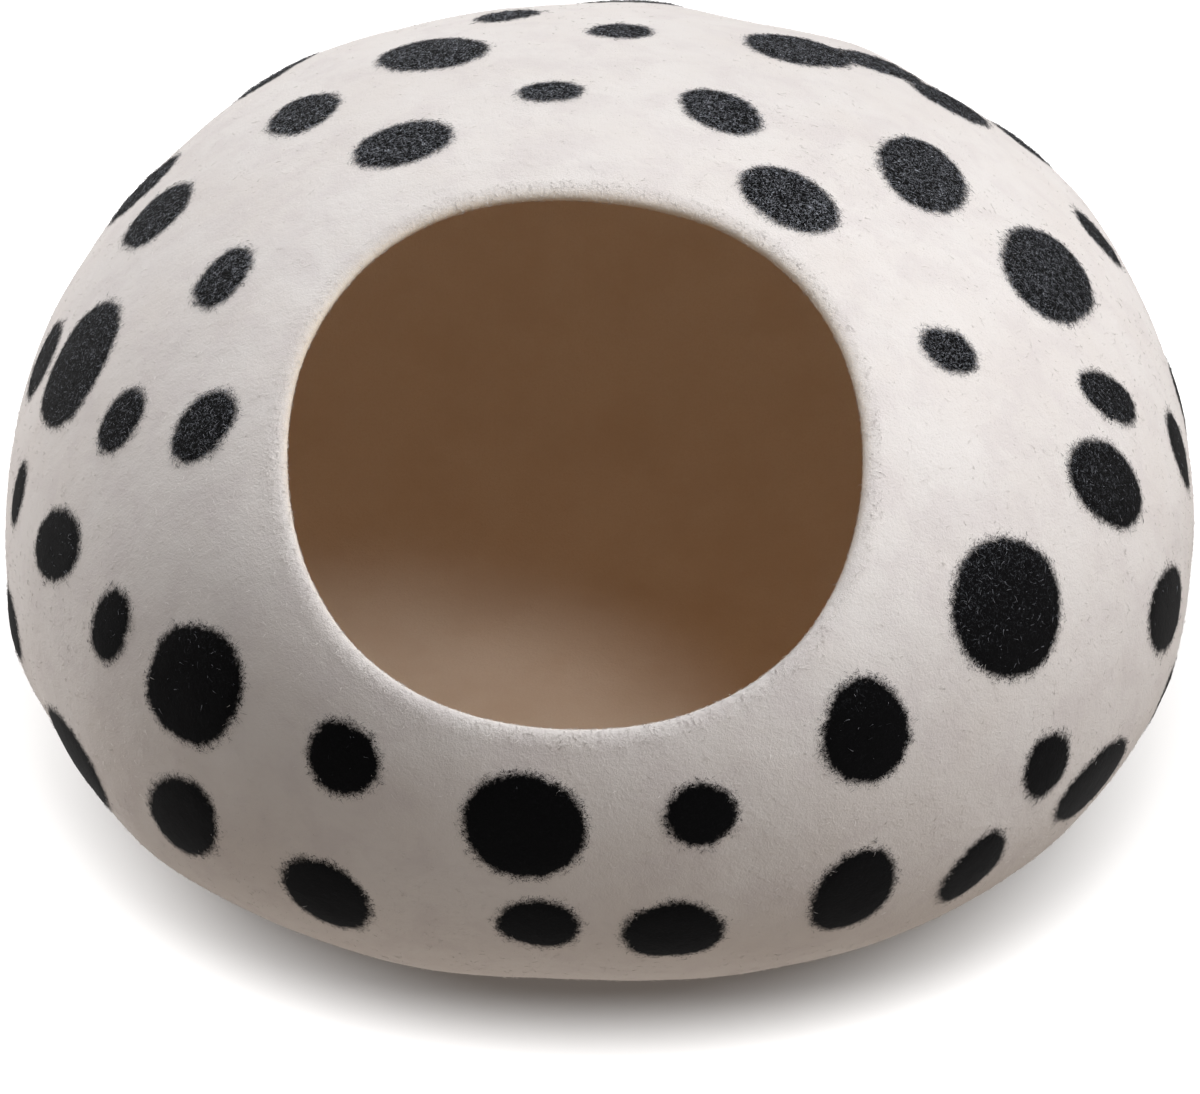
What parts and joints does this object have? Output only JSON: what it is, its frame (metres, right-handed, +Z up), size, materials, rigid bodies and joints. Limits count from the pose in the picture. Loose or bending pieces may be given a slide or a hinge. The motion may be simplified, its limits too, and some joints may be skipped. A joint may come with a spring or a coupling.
{
  "type": "felt cat cave",
  "caption": "Flattened round pet bed of thick felted wool, white with charcoal spots, with a wide round mouth high in its front and a flat base.",
  "frame": {"origin": "on the ground under the middle of the vessel's box, in the flat base", "axes": "+Z up, +X to the right of someone who faces the mouth, mouth towards -Y and up"},
  "size_m": [0.4998, 0.5438, 0.32],
  "materials": {
    "wool": "matt wet-felted wool, faintly hairy"
  },
  "bodies": {
    "root": {"shell": "wool"}
  },
  "joints": []
}
